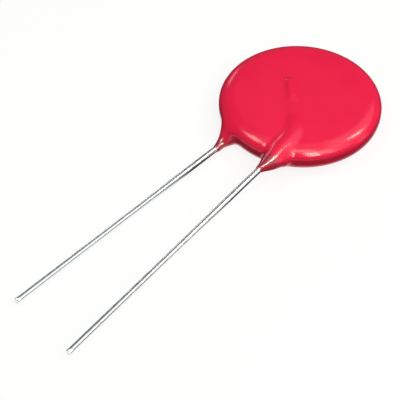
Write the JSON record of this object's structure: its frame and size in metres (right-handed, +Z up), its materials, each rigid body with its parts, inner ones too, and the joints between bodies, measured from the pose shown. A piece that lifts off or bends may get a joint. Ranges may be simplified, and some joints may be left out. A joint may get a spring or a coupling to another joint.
{
  "type": "varistor",
  "caption": "Disc metal-oxide varistor: round body dipped in glossy red epoxy, with two straight tinned wire leads side by side at one edge.",
  "frame": {"origin": "middle of what the part covers as it lies on its back face, at its lowest level", "axes": "+Z up through the disc, -Y the way the leads run, +X on the front lead's side"},
  "size_m": [0.022, 0.0612, 0.0046],
  "materials": {
    "red_epoxy": "gloss",
    "zinc_oxide_ceramic": "matte",
    "fired_silver": "satin",
    "tinned_wire": "polished",
    "solder": "satin"
  },
  "bodies": {
    "root": {"epoxy_coating": "red_epoxy", "ceramic_disc": "zinc_oxide_ceramic", "front_electrode": "fired_silver", "back_electrode": "fired_silver", "front_lead": "tinned_wire", "back_lead": "tinned_wire", "front_solder": "solder", "back_solder": "solder"}
  },
  "joints": []
}
